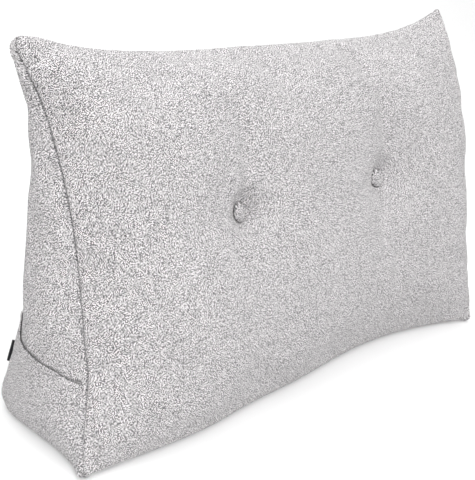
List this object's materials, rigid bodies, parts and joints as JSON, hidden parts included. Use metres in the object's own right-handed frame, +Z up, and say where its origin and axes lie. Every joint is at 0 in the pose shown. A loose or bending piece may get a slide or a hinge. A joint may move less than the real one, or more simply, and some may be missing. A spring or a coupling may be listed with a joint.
{
  "type": "wedge backrest pillow",
  "caption": "Wedge-shaped backrest pillow of grey melange cloth with a sloping buttoned front, seamed edges and a side pocket.",
  "frame": {"origin": "middle of the box around the pillow, on the surface that it stands on", "axes": "+X along the pillow's length, from the pocket's side to the plain side; +Y from the sloping front to the back; +Z up"},
  "size_m": [0.8498, 0.2474, 0.5031],
  "materials": {
    "melange_cloth": "light grey melange plain-weave upholstery cloth, matt",
    "pocket_cloth": "the same light grey melange cloth, matt",
    "button_cloth": "the same light grey melange cloth, stretched over a round button",
    "tab_ribbon": "plain black woven ribbon, matt"
  },
  "bodies": {
    "root": {"cushion": "melange_cloth", "pocket": "pocket_cloth", "button_left": "button_cloth", "button_right": "button_cloth", "label_tab": "tab_ribbon"}
  },
  "joints": []
}
